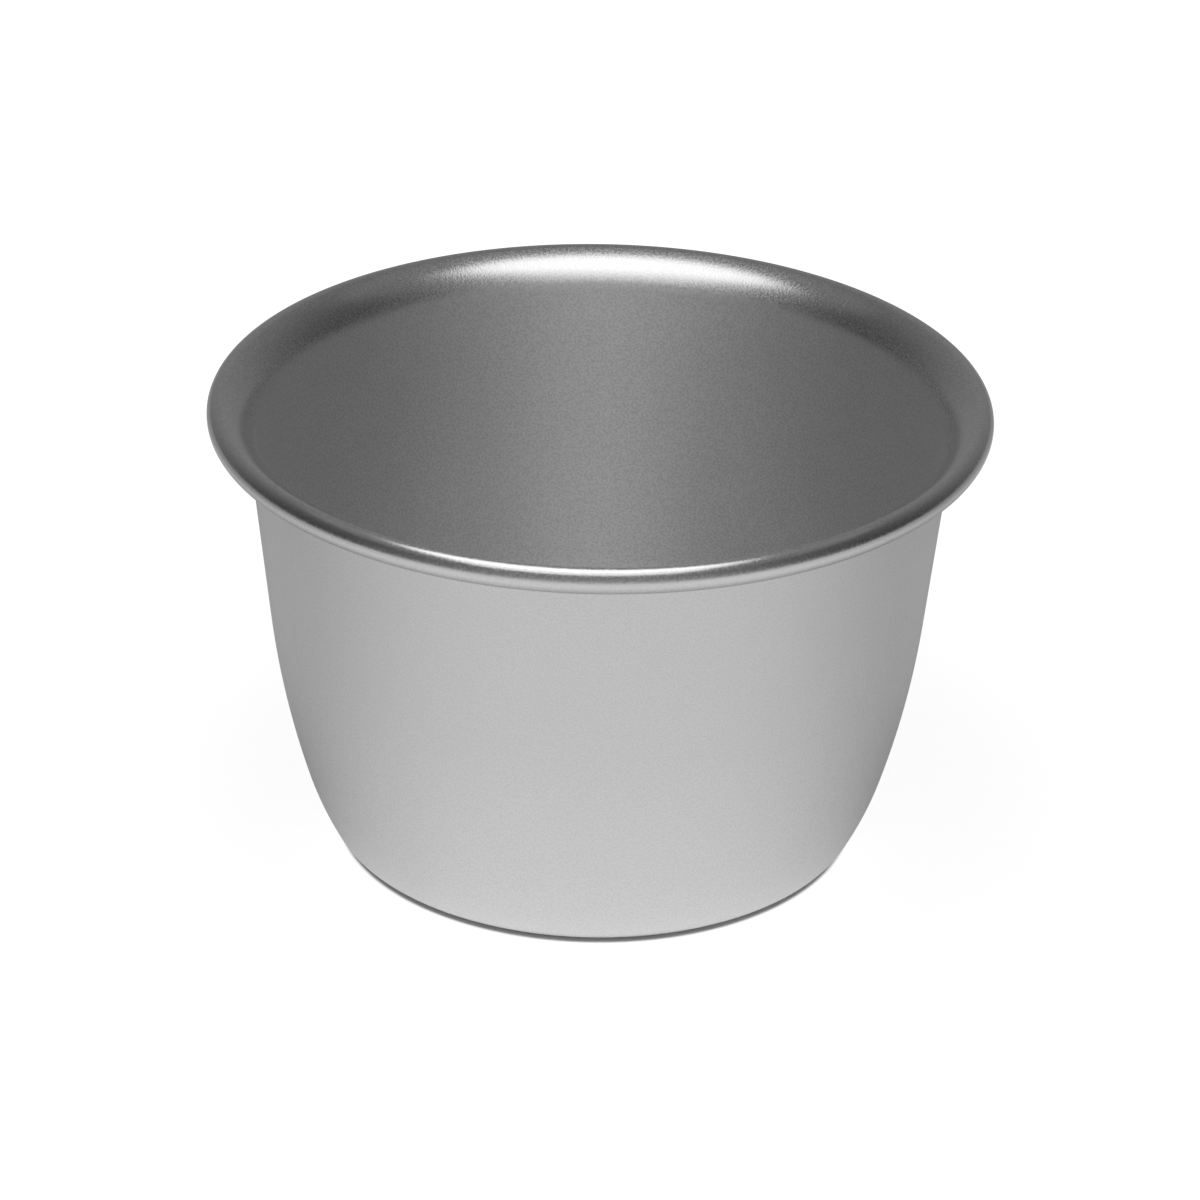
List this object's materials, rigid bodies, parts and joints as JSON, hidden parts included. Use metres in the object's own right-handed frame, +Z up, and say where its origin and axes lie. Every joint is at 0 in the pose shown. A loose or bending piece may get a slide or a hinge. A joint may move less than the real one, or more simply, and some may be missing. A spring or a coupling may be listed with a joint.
{
  "type": "mini pudding mould",
  "caption": "Small round open cup pressed from aluminium sheet, with a flat base, a bellied flaring wall and a wide rim rolled into a hollow bead, for baking or steaming a pudding.",
  "frame": {"origin": "middle of the flat base, on the surface that the mould stands on", "axes": "+Z up along the axis of the mould, out of its mouth; X and Y are alike"},
  "size_m": [0.08, 0.08, 0.0484],
  "materials": {
    "satin_aluminium": "satin anodised, fine even grain"
  },
  "bodies": {
    "root": {"pressed_mould": "satin_aluminium"}
  },
  "joints": []
}
